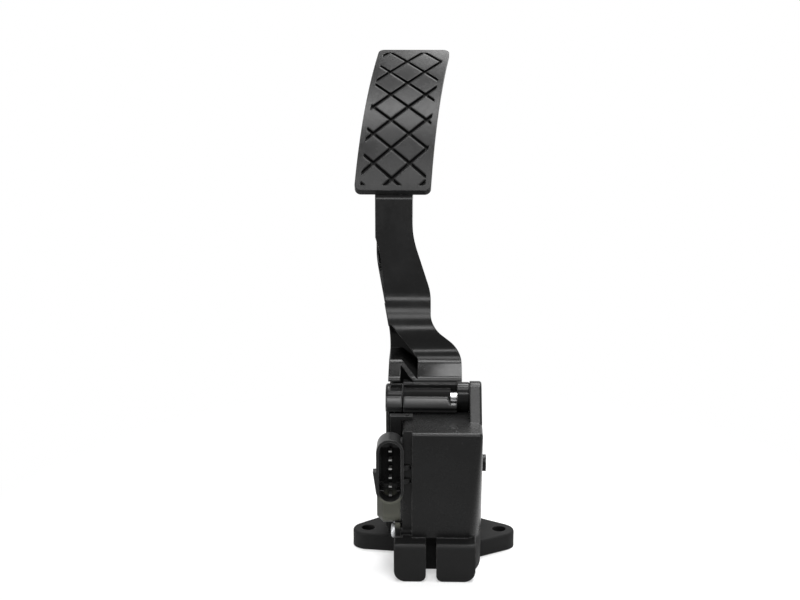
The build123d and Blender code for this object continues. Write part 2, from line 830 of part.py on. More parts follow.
with BuildPart() as hub_bushes:
    with Locations(pivot_line.offset(hub_left), pivot_line.offset(knuckle_left)):
        Cylinder(bush_radius, bush_length, align=(Align.CENTER, Align.CENTER, Align.MIN))
        Cylinder(shaft_radius + shaft_fit, bush_length, align=(Align.CENTER, Align.CENTER, Align.MIN),
                 mode=Mode.SUBTRACT)
hub_bushes.part.label = "hub_bushes"
export_step(hub_bushes.part, "parts/hub_bushes.step")

# Springs between the lower seat in the well and the cap under the lever
seat_top = well_floor + seat_thickness
cap_bottom = lever_bottom - seat_thickness
spigot_radius = inner_coil_radius - inner_wire - running_gap
with BuildPart() as spring_seat:
    with Locations((spring_x, spring_y, well_floor)):
        Cylinder(seat_radius, seat_thickness, align=(Align.CENTER, Align.CENTER, Align.MIN))
        Cylinder(spigot_radius, seat_thickness + spigot_length,
                 align=(Align.CENTER, Align.CENTER, Align.MIN))
spring_seat.part.label = "spring_seat"
export_step(spring_seat.part, "parts/spring_seat.step")

with BuildPart() as spring_cap:
    with Locations((spring_x, spring_y, lever_bottom)):
        Cylinder(seat_radius, seat_thickness, align=(Align.CENTER, Align.CENTER, Align.MAX))
        Cylinder(spigot_radius, seat_thickness + spigot_length,
                 align=(Align.CENTER, Align.CENTER, Align.MAX))
spring_cap.part.label = "spring_cap"
export_step(spring_cap.part, "parts/spring_cap.step")


def coil(radius, wire, turns, hand):
    """Helical spring between the seat and the cap, of flat-sided wire in short straight runs."""
    height = cap_bottom - seat_top - 2 * wire - running_gap / 2
    base = seat_top + wire + running_gap / 4
    steps = turns * coil_steps
    with BuildPart() as spring:
        for step in range(steps + 1):
            turned = hand * 2 * pi * step / coil_steps
            outward = (cos(turned), sin(turned), 0)
            forward = (-hand * sin(turned), hand * cos(turned), 0)
            middle = (
                spring_x + radius * cos(turned),
                spring_y + radius * sin(turned),
                base + height * step / steps,
            )
            with BuildSketch(Plane(origin=middle, x_dir=outward, z_dir=forward)):
                RegularPolygon(wire, wire_sides)
        loft(ruled=True)
    return spring


outer_spring = coil(outer_coil_radius, outer_wire, outer_turns, 1)
outer_spring.part.label = "outer_spring"
export_step(outer_spring.part, "parts/outer_spring.step")

inner_spring = coil(inner_coil_radius, inner_wire, inner_turns, -1)
inner_spring.part.label = "inner_spring"
export_step(inner_spring.part, "parts/inner_spring.step")

# Friction shoe under the tail
shoe_corner = sqrt(shoe_radius**2 - (shoe_width / 2) ** 2)
with BuildPart() as friction_shoe:
    with BuildSketch(Plane.YZ.offset(tail_left)):
        with BuildLine():
            rub = ThreePointArc(
                (pivot_y - shoe_width / 2, pivot_z - shoe_corner),
                (pivot_y, pivot_z - shoe_radius),
                (pivot_y + shoe_width / 2, pivot_z - shoe_corner),
            )
            Polyline(
                rub @ 0,
                (pivot_y - shoe_width / 2, pivot_z - tail_length),
                (pivot_y + shoe_width / 2, pivot_z - tail_length),
                rub @ 1,
            )
        make_face()
    extrude(amount=tail_width)
friction_shoe.part.label = "friction_shoe"
export_step(friction_shoe.part, "parts/friction_shoe.step")

# Rubber stops in front of the tail and behind it
stop_x = tail_left + tail_width / 2
stop_bottom = pivot_z - tail_length + stop_height / 2
with BuildPart() as idle_stop:
    with Locations((stop_x, bridge_front, stop_bottom)):
        Box(stop_width, bridge_front - pivot_y - tail_thickness / 2 - stop_gap, stop_height,
            align=(Align.CENTER, Align.MAX, Align.MIN))
    fillet(idle_stop.edges().group_by(Axis.Y)[0], stop_gap)
idle_stop.part.label = "idle_stop"
export_step(idle_stop.part, "parts/idle_stop.step")

reach_at_stop = (tail_thickness / 2 + (pivot_z - stop_bottom) * sin(turn)) / cos(turn)
with BuildPart() as travel_stop:
    with Locations((stop_x, well_front, stop_bottom)):
        Box(stop_width, pivot_y - reach_at_stop - stop_gap - well_front, stop_height,
            align=(Align.CENTER, Align.MIN, Align.MIN))
    fillet(travel_stop.edges().group_by(Axis.Y)[-1], stop_gap)
travel_stop.part.label = "travel_stop"
export_step(travel_stop.part, "parts/travel_stop.step")

# Magnet carrier on the tail's left side, with its two magnets
magnet_places = Plane(
    origin=(tail_left - carrier_reach, pivot_y, magnet_z),
    x_dir=(0, 1, 0),
    z_dir=(1, 0, 0),
)
with BuildPart() as magnet_carrier:
    with BuildSketch(magnet_places):
        RectangleRounded(carrier_width, carrier_height, magnet_radius)
    extrude(amount=carrier_reach)
    with Locations(magnet_places):
        with GridLocations(tail_thickness, 1, 2, 1):
            Cylinder(magnet_radius + seat_fit, magnet_length, align=(Align.CENTER, Align.CENTER, Align.MIN),
                     mode=Mode.SUBTRACT)
magnet_carrier.part.label = "magnet_carrier"
export_step(magnet_carrier.part, "parts/magnet_carrier.step")

with BuildPart() as sensor_magnets:
    with Locations(magnet_places):
        with GridLocations(tail_thickness, 1, 2, 1):
            Cylinder(magnet_radius, magnet_length, align=(Align.CENTER, Align.CENTER, Align.MIN))
sensor_magnets.part.label = "sensor_magnets"
export_step(sensor_magnets.part, "parts/sensor_magnets.step")

# Sensor cover with the connector shroud
terminal_places = [
    (shroud_x, terminal_z + (index - (terminal_count - 1) / 2) * terminal_pitch)
    for index in range(terminal_count)
]
terminal_front = shroud_front + terminal_recess
key_z = terminal_places[0][1] + terminal_pitch / 2
hook_heights = (terminal_z - terminal_pitch, terminal_z + terminal_pitch / 2)
with BuildPart() as sensor_cover:
    with BuildSketch(Plane.YZ.offset(cover_left)):
        add(cover_outline.sketch_local)
    extrude(amount=cover_right - cover_left)
    chamfer(sensor_cover.faces().sort_by(Axis.X)[0].edges(), cover_chamfer)
    with BuildSketch(Plane.XZ.offset(-shroud_front)):
        with Locations((shroud_x, shroud_z)):
            SlotOverall(shroud_height, shroud_width, rotation=90)
    extrude(amount=-(shroud_depth + cover_wall))
    with BuildSketch(Plane.XZ.offset(-shroud_front)):
        with Locations((shroud_x, shroud_z)):
            SlotOverall(shroud_height - 2 * shroud_wall, shroud_width - 2 * shroud_wall, rotation=90)
    extrude(amount=-shroud_depth, mode=Mode.SUBTRACT)
    with BuildSketch(Plane.YZ.offset(cover_right)):
        add(cover_outline.sketch_local)
        offset(amount=-cover_wall)
    extrude(amount=-(cover_right - cover_left - cover_wall), mode=Mode.SUBTRACT)
    with BuildSketch(Plane.XZ.offset(-shroud_floor)):
        with Locations((shroud_x, shroud_z)):
            SlotOverall(shroud_height, shroud_width, rotation=90)
    extrude(amount=-cover_wall)
    cut_block((cover_right, 0), (strip_front, cover_rear + 1), (0, shroud_z + shroud_height))
    # Lugs of the two screws
    with BuildSketch(Plane.YZ.offset(cover_right)):
        for index in range(2):
            with Locations((screw_y + index * screw_spacing, screw_z)):
                Circle(boss_radius)
            with Locations((screw_y + index * screw_spacing, (screw_z + cover_bottom + cover_wall) / 2)):
                Rectangle(2 * boss_radius, cover_bottom + cover_wall - screw_z)
    extrude(amount=-lug_thickness)
    with Locations(*[screw_plane(cover_right, index) for index in range(2)]):
        Cylinder(screw_radius + seat_fit, 3 * lug_thickness, mode=Mode.SUBTRACT)
    # Snap hooks on the strip beside the panel
    for height in hook_heights:
        with BuildSketch(Plane.XY.offset(height)):
            with BuildLine():
                Polyline(
                    (cover_right + seal_thickness, strip_front),
                    (panel_left - running_gap, strip_front),
                    (panel_left - 2 * running_gap, strip_front - seal_thickness),
                    (cover_right + seal_thickness, strip_front - 2 * seal_thickness),
                    close=True,
                )
            make_face()
        extrude(amount=terminal_pitch / 2)
    # Clip that hooks over the shelf
    with BuildSketch(Plane.XZ.offset(-clip_y)):
        with BuildLine():
            Polyline(
                (cover_right - clip_base, cover_top - cover_slope),
                (cover_right, cover_top - cover_slope),
                (cover_right, shelf_height),
                (cover_right + clip_reach, shelf_height),
                (cover_right + clip_reach, shelf_height + cover_wall),
                (cover_right - clip_base, shelf_height + cover_wall),
                close=True,
            )
        make_face()
    extrude(amount=-clip_width)
    cut_block(
        (cover_right + clip_reach - 2 * clip_window, cover_right + clip_reach - clip_window),
        (clip_y + (clip_width - clip_window) / 2, clip_y + (clip_width + clip_window) / 2),
        (shelf_height, shelf_height + 2 * cover_wall),
    )
    # Ramp beside the shroud
    with BuildSketch(Plane.XZ.offset(-cover_front + seal_thickness)):
        with BuildLine():
            Polyline(
                (shroud_x, shroud_z - ramp_height),
                (cover_left, shroud_z - ramp_height),
                (cover_left - ramp_reach, shroud_z),
                (shroud_x, shroud_z),
                close=True,
            )
        make_face()
    extrude(amount=ramp_length)
    with BuildSketch(Plane.XZ.offset(-shroud_front)):
        with Locations((shroud_x, shroud_z)):
            SlotOverall(shroud_height - 2 * shroud_wall, shroud_width - 2 * shroud_wall, rotation=90)
    extrude(amount=-shroud_depth, mode=Mode.SUBTRACT)
    # Key ribs on both sides of the lower terminals
    with BuildSketch(Plane.XZ.offset(-terminal_front)):
        for side in (-1, 1):
            for step in range(2):
                key_x = shroud_x + side * (shroud_width - key_reach) / 2
                with Locations((key_x, key_z + step * terminal_pitch)):
                    Rectangle(key_reach, key_thickness)
    extrude(amount=-(shroud_floor - terminal_front))
    cut_block((cover_right, 0), (strip_front, shroud_floor), (terminal_places[0][1], terminal_z))
    # Slots of the terminals
    with BuildSketch(Plane.XZ.offset(-shroud_front)):
        with Locations(*terminal_places):
            Rectangle(terminal_width + 2 * seat_fit, terminal_thickness + 2 * seat_fit)
    extrude(amount=-(shroud_depth + 2 * cover_wall), mode=Mode.SUBTRACT)
sensor_cover.part.label = "sensor_cover"
export_step(sensor_cover.part, "parts/sensor_cover.step")

with BuildPart() as cover_seal:
    with BuildSketch(Plane.YZ.offset(cover_right)):
        add(cover_outline.sketch_local)
        with BuildSketch(mode=Mode.SUBTRACT):
            add(cover_outline.sketch_local)
            offset(amount=-cover_wall)
    extrude(amount=seal_thickness)
cover_seal.part.label = "cover_seal"
export_step(cover_seal.part, "parts/cover_seal.step")

with BuildPart() as cover_screws:
    with Locations(*[screw_plane(cover_right - lug_thickness, index) for index in range(2)]):
        Cylinder(screw_head_radius, screw_head_height, align=(Align.CENTER, Align.CENTER, Align.MAX))
        Cylinder(screw_radius, screw_length, align=(Align.CENTER, Align.CENTER, Align.MIN))
cover_screws.part.label = "cover_screws"
export_step(cover_screws.part, "parts/cover_screws.step")

# Circuit board with its components, and the terminals that reach it
with BuildPart() as circuit_board:
    with BuildSketch(Plane.YZ.offset(body_left)):
        add(cover_outline.sketch_local)
        offset(amount=-board_inset)
    extrude(amount=board_thickness)
circuit_board.part.label = "circuit_board"
export_step(circuit_board.part, "parts/circuit_board.step")

chip_size = (cover_rear - cover_front - 2 * board_inset) / 4
board_middle = ((cover_front + cover_rear) / 2, (cover_bottom + cover_top - cover_slope) / 2)
with BuildPart() as sensor_chips:
    with BuildSketch(Plane.YZ.offset(board_right)):
        with Locations(board_middle):
            with GridLocations(2 * chip_size, 2 * chip_size, 2, 3):
                Rectangle(chip_size, 1.2 * chip_size)
    extrude(amount=chip_height)
sensor_chips.part.label = "sensor_chips"
export_step(sensor_chips.part, "parts/sensor_chips.step")

terminal_rear = shroud_floor + 2 * cover_wall + terminal_width
with BuildPart() as connector_terminals:
    with BuildSketch(Plane.XZ.offset(-terminal_front)):
        with Locations(*terminal_places):
            Rectangle(terminal_width, terminal_thickness)
    extrude(amount=-(terminal_rear - terminal_front))
    for place_x, place_z in terminal_places:
        with Locations((place_x, terminal_rear, place_z)):
            Box(body_left - place_x, terminal_width, terminal_thickness,
                align=(Align.MIN, Align.MAX, Align.CENTER))
connector_terminals.part.label = "connector_terminals"
export_step(connector_terminals.part, "parts/connector_terminals.step")
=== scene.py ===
"""Finishes, small fittings and studio of the accelerator pedal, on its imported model."""
import json
import math

import bmesh
import bpy
import numpy as np
from mathutils import Matrix, Vector


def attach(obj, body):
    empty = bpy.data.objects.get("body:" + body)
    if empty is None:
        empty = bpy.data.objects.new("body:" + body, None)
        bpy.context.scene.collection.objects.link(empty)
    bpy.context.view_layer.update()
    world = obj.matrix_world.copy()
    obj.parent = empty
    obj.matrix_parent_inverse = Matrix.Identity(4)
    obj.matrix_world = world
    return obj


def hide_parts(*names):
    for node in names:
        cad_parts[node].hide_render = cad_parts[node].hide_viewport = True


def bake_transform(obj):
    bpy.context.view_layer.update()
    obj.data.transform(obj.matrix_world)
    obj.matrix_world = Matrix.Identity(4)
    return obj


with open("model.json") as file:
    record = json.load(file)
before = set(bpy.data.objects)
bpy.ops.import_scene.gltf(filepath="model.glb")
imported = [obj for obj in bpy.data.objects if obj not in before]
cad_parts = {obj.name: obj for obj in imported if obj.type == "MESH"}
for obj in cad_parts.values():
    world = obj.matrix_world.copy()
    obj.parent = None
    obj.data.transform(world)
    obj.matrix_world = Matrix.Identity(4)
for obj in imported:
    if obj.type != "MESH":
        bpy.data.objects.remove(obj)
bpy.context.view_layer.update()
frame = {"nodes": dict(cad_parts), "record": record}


class Shade:
    """A socket in a material's node tree. Arithmetic on it adds Math nodes to that tree."""

    def __init__(self, tree, socket=None):
        self.tree = tree
        self.socket = socket

    def node(self, kind, settings=None, sockets=None, out=0):
        """Add a node: its settings first, then the value or the link of each socket named."""
        made = self.tree.nodes.new(kind)
        for name, value in (settings or {}).items():
            setattr(made, name, value)
        for name, value in (sockets or {}).items():
            if isinstance(value, Shade):
                self.tree.links.new(value.socket, made.inputs[name])
            else:
                made.inputs[name].default_value = value
        return Shade(self.tree, made.outputs[out])

    def maths(self, operation, first, second=0.0):
        """Add a Math node."""
        return self.node("ShaderNodeMath", {"operation": operation}, {0: first, 1: second})

    def __add__(self, other):
        return self.maths("ADD", self, other)

    __radd__ = __add__

    def __mul__(self, other):
        return self.maths("MULTIPLY", self, other)

    __rmul__ = __mul__

    def __sub__(self, other):
        return self.maths("SUBTRACT", self, other)

    def __rsub__(self, other):
        return self.maths("SUBTRACT", other, self)

    def held(self):
        """The value, held between 0 and 1."""
        return self.node("ShaderNodeClamp", None, {0: self, 1: 0.0, 2: 1.0})

    def step(self, low, high):
        """A smooth rise from 0 at low to 1 at high."""
        return self.node("ShaderNodeMapRange", {"interpolation_type": "SMOOTHSTEP"}, {0: self, 1: low, 2: high})

    def blend(self, first, second):
        """A colour between two colours or colour sockets, by this value."""
        return self.node("ShaderNodeMix", {"data_type": "RGBA"}, {0: self, 6: first, 7: second}, 2)


def begin(name):
    """A new material: its shader node and a Shade to build its nodes with."""
    material = bpy.data.materials.new(name)
    material.use_nodes = True
    shader = material.node_tree.nodes["Principled BSDF"]
    return material, shader, Shade(material.node_tree)


def feed(shader, **inputs):
    """Set or link inputs of a shader, named with _ for each space."""
    for name, value in inputs.items():
        socket = shader.inputs[name.replace("_", " ")]
        if isinstance(value, Shade):
            value.tree.links.new(value.socket, socket)
        else:
            socket.default_value = value


def tone(level, warmth=0.0):
    """A grey of a given level, made a little warmer or cooler."""
    return (level * (1 + warmth), level, level * (1 - warmth), 1)


def noise(base, place, scale, detail=2.0, rough=0.5):
    """Noise with features of about 1 / scale metres."""
    return base.node("ShaderNodeTexNoise", None,
                     {"Vector": place, "Scale": scale, "Detail": detail, "Roughness": rough})


def within(base, place, low, high, edge):
    """1 inside a box given by two corners, falling to 0 across an edge of the width given."""
    mask = 1.0
    for axis, start, end in zip("XYZ", low, high):
        along = base.node("ShaderNodeSeparateXYZ", None, {0: place}, axis)
        mask = mask * along.step(start, start + edge) * (1 - along.step(end - edge, end))
    return mask


# The tread on the plane that faces its middle, in metres: the outline and the lines of the diamond grooves
tread_lean = math.radians(53.5)
tread_middle = (0.0959047, 0.2074468)
tread_half_length, tread_half_width = 0.0536382, 0.0198
tread_left, tread_skew, tread_bow, tread_border = -0.0422, 0.010, 0.0012, 0.003
diamond_width, diamond_height, diamond_x, diamond_row = 0.0189, 0.0196, -0.0229, -0.0466382
diamond_turn = math.radians(1.0)
groove_floor, groove_shoulder = 0.0007, 0.0016
groove_fade_before, groove_fade_after = 0.0010, 0.0002
faint_start, faint_end, faint_share = 0.020, 0.044, 0.75


def groove_shoulders(base, place):
    """1 in the tread's diamond grooves, falling to 0 across their rounded shoulders.

    Two families of lines cross the plane that faces the tread's middle. The distance to the nearest line of a
    family is a triangle wave of the distance across its lines. The grooves stop short of the tread's edges and
    grow faint near its upper end.
    """
    x, y, z = (base.node("ShaderNodeSeparateXYZ", None, {0: place}, axis) for axis in "XYZ")
    up = (y - tread_middle[0]) * math.sin(tread_lean) + (z - tread_middle[1]) * math.cos(tread_lean)
    slope = math.atan2(diamond_height, diamond_width)
    distances = []
    for turn in (diamond_turn + slope, diamond_turn - slope):
        across = (up - diamond_row) * math.cos(turn) - (x - diamond_x) * math.sin(turn)
        distances.append(base.maths("PINGPONG", across, diamond_width * abs(math.sin(turn)) / 2))
    near = base.maths("MINIMUM", *distances)
    share = up * (1 / tread_half_length)
    centre = share * share * tread_bow + share * (tread_skew / 2) + (
        tread_left + tread_half_width + tread_skew / 2 - tread_bow)
    inside = 1.0
    for place_across, limit in ((x - centre, tread_half_width), (up, tread_half_length)):
        edge = limit - tread_border
        off_centre = base.maths("ABSOLUTE", place_across)
        inside = inside * (1 - off_centre.step(edge - groove_fade_before, edge + groove_fade_after))
    faint = 1 - faint_share * up.step(faint_start, faint_end)
    return (1 - near.step(groove_floor, groove_shoulder)) * inside * faint


# Moulded plastic: the tones of painted shade, in recesses and grooves, and of painted light on front faces, and in
# metres the widths that painted shade, painted light and coarse grain fade across and the depths of the grain and
# of the grooves' shoulders
painted_shade_tone, painted_light_tone = tone(0.001), (0.060, 0.061, 0.049, 1)
painted_shade_edge, painted_light_edge, coarse_edge = 0.0004, 0.003, 0.004
grain_depth, shoulder_depth = 0.00012, 0.0005


def moulded(name, level, rough, grain, soft, sheen=0.3, coarse=None, painted_shade_boxes=(), grooved=False, painted_light_box=None):
    """Black moulded plastic: spark-eroded grain, faint flow mottling, and edges rubbed paler and smoother.

    The rubbed edge is where the normal, averaged over a small radius, leaves the face's own normal. There it is
    smoother from wear and paler, partly from wear and partly as a painted highlight. Below the height given as
    coarse the grain is rougher. Inside the recess boxes given it is duller, and its colour is painted shade, near
    black; so it is in the tread's grooves, whose shoulders are rounded. Inside the box given for front faces,
    faces that look to the front are paler and olive: painted light.
    """
    material, shader, base = begin(name)
    place = base.node("ShaderNodeTexCoord", None, None, "Object")
    rounded = base.node("ShaderNodeBevel", {"samples": 6}, {"Radius": soft})
    face = base.node("ShaderNodeNewGeometry", None, None, "Normal")
    likeness = base.node("ShaderNodeVectorMath", {"operation": "DOT_PRODUCT"}, {0: rounded, 1: face}, "Value")
    mottling = noise(base, place, 75.0, 3.0)
    scuffs = noise(base, place, 420.0, 4.0, 0.65)
    grit = noise(base, place, 2400.0, 2.0, 0.6)
    wear_and_edge_highlight = (1 - likeness).step(0.02, 0.30) * scuffs.step(0.35, 0.65)
    body = mottling.blend(tone(0.82 * level, 0.01), tone(1.2 * level, -0.01))
    dusted = (scuffs.step(0.56, 0.80) * 0.35).blend(body, tone(2.2 * level, 0.02))
    # Paler rubbed edges: partly wear, partly a painted highlight.
    colour_and_painted_light = (wear_and_edge_highlight * 0.8).blend(dusted, tone(9 * level, 0.01))
    height = grit * 0.7 + scuffs * 0.3
    dull = rough + 0.16 * (mottling - 0.5) + 0.14 * (scuffs - 0.5) - 0.08 * wear_and_edge_highlight
    if coarse:
        height_above = base.node("ShaderNodeSeparateXYZ", None, {0: place}, "Z")
        dull = dull + 0.40 * (1 - height_above.step(coarse, coarse + coarse_edge))
    if grooved:
        groove_shade_and_shoulder = groove_shoulders(base, place)
        dull = dull + 0.35 * groove_shade_and_shoulder
        # Painted shade: the grooves and their rounded shoulders are coloured near black.
        colour_and_painted_light = (groove_shade_and_shoulder * 0.85).blend(colour_and_painted_light, painted_shade_tone)
        rounded = base.node("ShaderNodeBump", None,
                            {"Strength": 0.35, "Distance": shoulder_depth, "Height": 1 - groove_shade_and_shoulder, "Normal": rounded})
    bump = base.node("ShaderNodeBump", None,
                     {"Strength": grain, "Distance": grain_depth, "Height": height, "Normal": rounded})
    painted_shade = 0.0
    # Painted shade: inside the recess boxes the colour goes near black and the surface duller.
    for low, high in painted_shade_boxes:
        painted_shade = painted_shade + within(base, place, low, high, painted_shade_edge)
    if painted_shade_boxes:
        dull = dull + 0.5 * painted_shade
        colour_and_painted_light = (painted_shade * 0.9).blend(colour_and_painted_light, painted_shade_tone)
    # Painted light: faces inside this box that look to the front are made paler and olive.
    if painted_light_box:
        frontal = base.node("ShaderNodeVectorMath", {"operation": "DOT_PRODUCT"}, {0: face, 1: (0, -1, 0)}, "Value")
        inside = within(base, place, *painted_light_box, painted_light_edge) * frontal.step(0.4, 0.9) * (1 - painted_shade)
        colour_and_painted_light = (inside * 0.85).blend(colour_and_painted_light, painted_light_tone)
    feed(shader, Base_Color=colour_and_painted_light, Roughness=dull, Normal=bump, Specular_IOR_Level=sheen)
    return material


def metal(name, colour, rough, grain_scale, soft=0.0002):
    """Bare or plated metal: fine drawn lines along X, cloudy tarnish and small pits."""
    material, shader, base = begin(name)
    place = base.node("ShaderNodeTexCoord", None, None, "Object")
    drawn = base.node("ShaderNodeMapping", None, {"Vector": place, "Scale": (0.06, 1.0, 1.0)})
    rounded = base.node("ShaderNodeBevel", {"samples": 4}, {"Radius": soft})
    lines = noise(base, drawn, grain_scale, 3.0, 0.6)
    clouds = noise(base, place, 260.0, 3.0)
    pits = noise(base, place, 1900.0, 2.0).step(0.62, 0.75)
    bright = tuple(1.1 * part for part in colour) + (1,)
    dull = tuple(0.62 * part for part in colour) + (1,)
    plated = clouds.step(0.35, 0.7).blend(bright, dull)
    bump = base.node("ShaderNodeBump", None,
                     {"Strength": 0.12, "Distance": 0.00006, "Height": lines - 0.6 * pits, "Normal": rounded})
    feed(shader, Base_Color=plated, Metallic=1.0, Normal=bump,
         Roughness=(rough + 0.18 * (clouds - 0.5) + 0.1 * (lines - 0.5) + 0.15 * pits))
    return material


def natural_plastic(name, colour, rough):
    """Unpainted engineering plastic: milky mottling and a soft grain."""
    material, shader, base = begin(name)
    place = base.node("ShaderNodeTexCoord", None, None, "Object")
    rounded = base.node("ShaderNodeBevel", {"samples": 4}, {"Radius": 0.0003})
    milk = noise(base, place, 180.0, 3.0)
    grit = noise(base, place, 2600.0, 2.0)
    pale = tuple(min(1.0, 1.08 * part) for part in colour) + (1,)
    deep = tuple(0.86 * part for part in colour) + (1,)
    bump = base.node("ShaderNodeBump", None,
                     {"Strength": 0.12, "Distance": 0.0001, "Height": grit, "Normal": rounded})
    feed(shader, Base_Color=milk.step(0.3, 0.7).blend(pale, deep), Normal=bump,
         Roughness=(rough + 0.15 * (milk - 0.5) + 0.1 * (grit - 0.5)))
    return material


def laminate(name):
    """Circuit board: green coating over a woven base, paler over straight-sided copper pads."""
    material, shader, base = begin(name)
    place = base.node("ShaderNodeTexCoord", None, None, "Object")
    weave, weft = (base.node("ShaderNodeTexWave", {"bands_direction": across},
                             {"Vector": place, "Scale": 900.0, "Distortion": 1.0}) for across in "YZ")
    between = base.node("ShaderNodeTexVoronoi", {"feature": "F1", "distance": "MANHATTAN"},
                        {"Vector": place, "Scale": 320.0}).step(0.28, 0.34)
    cloth = weave * weft
    coat = between.blend((0.05, 0.22, 0.08, 1), (0.015, 0.10, 0.035, 1))
    feed(shader, Base_Color=(cloth * 0.25).blend(coat, (0.06, 0.16, 0.06, 1)), Roughness=0.32 + 0.15 * cloth,
         Coat_Weight=0.3 + 0.2 * between,
         Normal=base.node("ShaderNodeBump", None, {"Strength": 0.15, "Distance": 0.00005, "Height": cloth - between}))
    return material


finishes = {
    "housing_plastic": moulded("housing_plastic", level=0.006, rough=0.27, grain=0.12, soft=0.0010, sheen=0.11,
                               coarse=0.016),
    "cover_plastic": moulded("cover_plastic", level=0.008, rough=0.32, grain=0.12, soft=0.0007, sheen=0.13,
                             painted_shade_boxes=(((-0.0259, -0.0363, 0.0434), (-0.0157, -0.0150, 0.0624)),),
                             painted_light_box=((-0.0330, -0.0400, 0.0215), (-0.0120, -0.0200, 0.0415))),
    "arm_plastic": moulded("arm_plastic", level=0.005, rough=0.19, grain=0.06, soft=0.0008, sheen=0.085,
                           painted_shade_boxes=(((-0.0157, -0.0052, 0.0785), (0.0114, 0.0006, 0.0852)),)),
    "tread_plastic": moulded("tread_plastic", level=0.007, rough=0.26, grain=0.18, soft=0.0006, sheen=0.07,
                             grooved=True),
    "seal_rubber": moulded("seal_rubber", level=0.020, rough=0.75, grain=0.25, soft=0.0004, sheen=0.2),
    "stop_rubber": moulded("stop_rubber", level=0.026, rough=0.72, grain=0.25, soft=0.0005, sheen=0.2),
    "chip_resin": moulded("chip_resin", level=0.022, rough=0.55, grain=0.25, soft=0.0002),
    "seat_plastic": natural_plastic("seat_plastic", (0.55, 0.53, 0.48), rough=0.42),
    "shoe_plastic": natural_plastic("shoe_plastic", (0.30, 0.24, 0.15), rough=0.6),
    "zinc_steel": metal("zinc_steel", (0.50, 0.51, 0.52), rough=0.46, grain_scale=1500.0),
    "shaft_steel": metal("shaft_steel", (0.60, 0.60, 0.61), rough=0.26, grain_scale=2400.0),
    "spring_steel": metal("spring_steel", (0.32, 0.31, 0.30), rough=0.40, grain_scale=1800.0),
    "magnet_nickel": metal("magnet_nickel", (0.62, 0.61, 0.58), rough=0.20, grain_scale=1400.0),
    "bush_bronze": metal("bush_bronze", (0.50, 0.36, 0.18), rough=0.45, grain_scale=900.0),
    "tinned_contact": metal("tinned_contact", (0.24, 0.24, 0.235), rough=0.50, grain_scale=2000.0, soft=0.0001),
    "board_laminate": laminate("board_laminate"),
}
for row in frame["record"]["subparts"]:
    slots = frame["nodes"][row["node"]].data.materials
    slots.clear()
    slots.append(finishes[row["material_slot"]])


def grid_faces(rows, columns):
    """Quads of a grid of rows by columns points, counted along the columns first."""
    first = (np.arange(rows - 1)[:, None] * columns + np.arange(columns - 1)[None, :]).ravel()
    return np.stack([first, first + 1, first + columns + 1, first + columns], axis=1)


weld_distance = 1e-7


def mesh_piece(name, points, faces, material):
    """A smooth mesh object at the origin from an array of points and an array of quads, welded where they meet."""
    mesh = bpy.data.meshes.new(name)
    mesh.from_pydata(points.reshape(-1, 3).tolist(), [], faces.tolist())
    welded = bmesh.new()
    welded.from_mesh(mesh)
    bmesh.ops.remove_doubles(welded, verts=welded.verts, dist=weld_distance)
    welded.to_mesh(mesh)
    welded.free()
    mesh.polygons.foreach_set("use_smooth", np.ones(len(mesh.polygons), dtype=bool))
    mesh.materials.append(material)
    piece = bpy.data.objects.new(name, mesh)
    bpy.context.scene.collection.objects.link(piece)
    return piece


def eased(share):
    """A smooth rise from 0 to 1 as the share goes from 0 to 1, level at both ends and beyond."""
    share = np.clip(share, 0, 1)
    return share * share * (3 - 2 * share)


def coil_points(radius, wire, turns, hand):
    """Points of a spring: a round wire, given by its radius, along a helix whose end turns lie closed.

    The pitch is just over one wire thickness on the end turns and rises smoothly to the working pitch between
    them. Height is the running sum of pitch times the share of a turn. The first and last rings shrink to a point.
    """
    foot, head, middle = 0.0171, 0.0664, (0.002, 0.0195)
    rings_per_turn, wire_sides, closed_turns, opening_turns = 28, 12, 0.8, 0.5
    turn = np.linspace(0, turns, rings_per_turn * turns + 1)
    working = eased((np.minimum(turn, turns - turn) - closed_turns) / opening_turns)
    rise = np.concatenate([[0], np.cumsum((working[1:] + working[:-1]) * np.diff(turn) / 2)])
    closed_pitch = 2.04 * wire
    closed = closed_pitch * turn
    height = foot + wire + closed + rise * (head - foot - 2 * wire - closed[-1]) / rise[-1]
    angle = hand * 2 * math.pi * turn
    outward = np.stack([np.cos(angle), np.sin(angle), 0 * angle], axis=-1)
    centre = radius * outward + np.stack([0 * angle + middle[0], 0 * angle + middle[1], height], axis=-1)
    along = np.gradient(centre, axis=0)
    along /= np.linalg.norm(along, axis=1, keepdims=True)
    upward = np.cross(outward, along)
    round_wire = np.linspace(0, 2 * math.pi, wire_sides + 1)
    thick = np.full(len(turn), wire)
    thick[[0, -1]] = 0.0
    ring = (np.cos(round_wire)[None, :, None] * outward[:, None, :]
            + np.sin(round_wire)[None, :, None] * upward[:, None, :])
    return centre[:, None, :] + thick[:, None, None] * ring


def spring_piece(name, radius, wire, turns, hand):
    """A return spring: a coiled wire that takes the place of the imported spring."""
    grid = coil_points(radius, wire, turns, hand)
    piece = mesh_piece(name + "_wire", grid, grid_faces(*grid.shape[:2])[:, ::-1], finishes["spring_steel"])
    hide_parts(name)
    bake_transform(piece)


spring_piece("outer_spring", 0.0074, 0.00105, 8, 1)
spring_piece("inner_spring", 0.0046, 0.00075, 9, -1)


screw_z = 0.020


